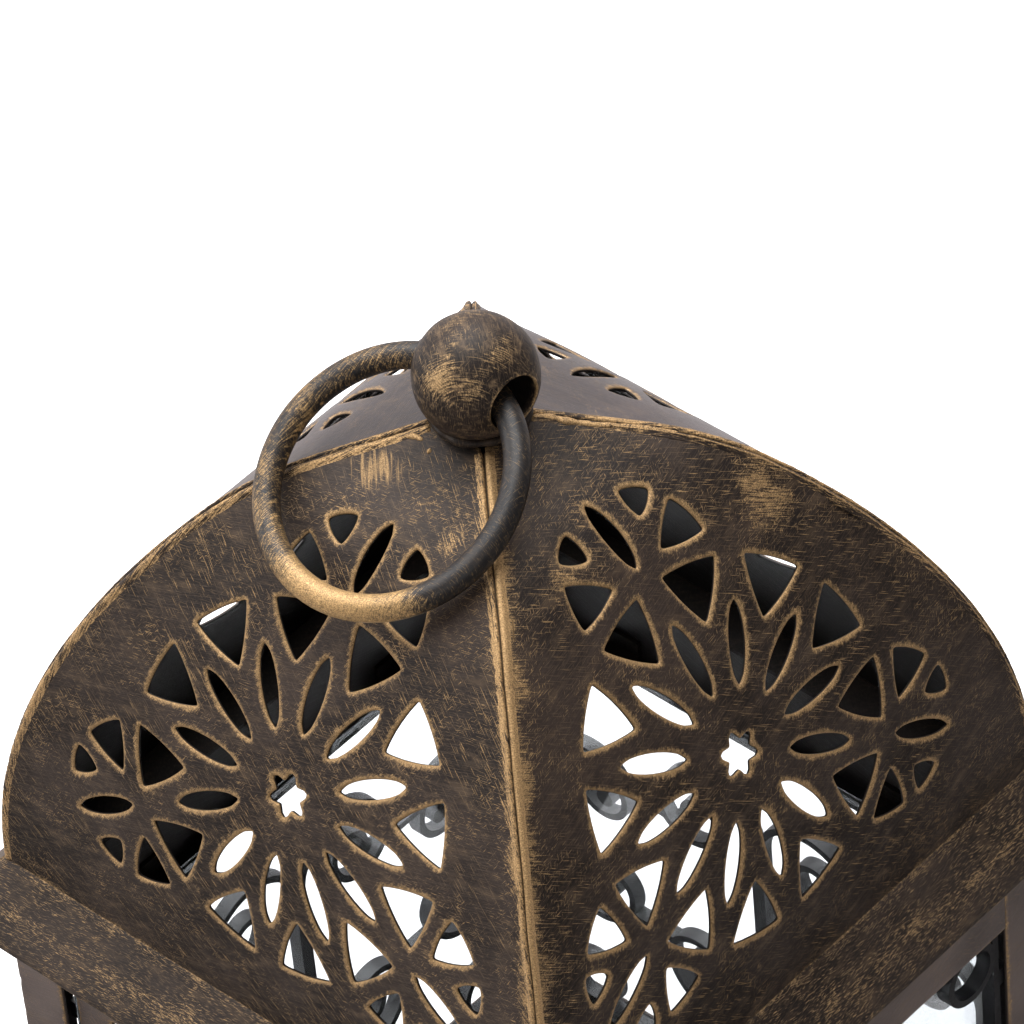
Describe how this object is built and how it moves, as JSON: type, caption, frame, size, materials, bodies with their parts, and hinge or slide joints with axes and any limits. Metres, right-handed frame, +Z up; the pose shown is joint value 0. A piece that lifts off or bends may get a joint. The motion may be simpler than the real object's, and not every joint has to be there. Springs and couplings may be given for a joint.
{
  "type": "candle lantern",
  "caption": "Square glazed candle lantern with a pierced four-panel dome, ball finial, loose carry ring and a hinged, latched front door.",
  "frame": {"origin": "middle of the base on the surface that the lantern stands on", "axes": "+Z up, the door on the -Y side, +X to the right of someone facing the door"},
  "size_m": [0.1278, 0.1278, 0.2403],
  "materials": {
    "bronze_sheet": "antique bronze paint, gold rubbed along every cut edge",
    "bronze_band": "antique bronze paint with horizontal rubbed scratches",
    "bronze_frame": "smooth antique bronze paint, gold rubbed along edges",
    "solder_seam": "rubbed gold seam with dark hollows",
    "rubbed_bronze_ball": "mottled gold rubbed over dark bronze",
    "rubbed_bronze_ring": "gold rubbed on one side, dark on the other",
    "bronze_hardware": "antique bronze paint, worn on the edges",
    "bronze_cup": "antique bronze paint, worn on the rim",
    "black_iron": "satin black paint",
    "window_glass": "clear glass"
  },
  "bodies": {
    "lantern": {"dome_panel_front": "bronze_sheet", "dome_panel_right": "bronze_sheet", "dome_panel_rear": "bronze_sheet", "dome_panel_left": "bronze_sheet", "ridge_seams": "solder_seam", "eave_band": "bronze_band", "top_frame": "bronze_frame", "ball_finial": "rubbed_bronze_ball", "finial_weld": "solder_seam", "corner_post_front_right": "bronze_frame", "corner_post_rear_right": "bronze_frame", "corner_post_rear_left": "bronze_frame", "corner_post_front_left": "bronze_frame", "door_lintel": "bronze_frame", "door_sill": "bronze_frame", "top_rail_right": "bronze_frame", "top_rail_rear": "bronze_frame", "top_rail_left": "bronze_frame", "bottom_rail_right": "bronze_frame", "bottom_rail_rear": "bronze_frame", "bottom_rail_left": "bronze_frame", "window_glass_right": "window_glass", "window_glass_rear": "window_glass", "window_glass_left": "window_glass", "window_scroll_right": "black_iron", "window_scroll_rear": "black_iron", "window_scroll_left": "black_iron", "window_glass_tabs": "bronze_frame", "floor_tray": "bronze_frame", "base_skirt": "bronze_band", "candle_cup": "bronze_cup", "candle_cup_rivet": "bronze_hardware", "hinge_post_leaves": "bronze_hardware", "hinge_pins": "bronze_hardware", "latch_keeper": "bronze_hardware"},
    "door": {"door_frame": "bronze_frame", "door_glass": "window_glass", "door_scroll": "black_iron", "door_glass_tabs": "bronze_frame", "hinge_door_leaves": "bronze_hardware", "latch_rivet": "bronze_hardware"},
    "latch": {"latch_lever": "bronze_hardware"},
    "ring": {"carry_ring": "rubbed_bronze_ring"}
  },
  "joints": [
    {"name": "door_hinge", "type": "hinge", "parent": "lantern", "child": "door", "pos_m": [-0.0457, -0.0574, 0.07], "axis": [0, 0, -1], "range_deg": [0, 170]},
    {"name": "latch_turn", "type": "hinge", "parent": "door", "child": "latch", "pos_m": [0.04145, -0.0562, 0.07025], "axis": [0, 1, 0], "range_deg": [0, 90]},
    {"name": "ring_swing", "type": "hinge", "parent": "lantern", "child": "ring", "pos_m": [0, 0, 0.231], "axis": [-0.9925, 0.1219, 0], "range_deg": [0, 122]}
  ]
}
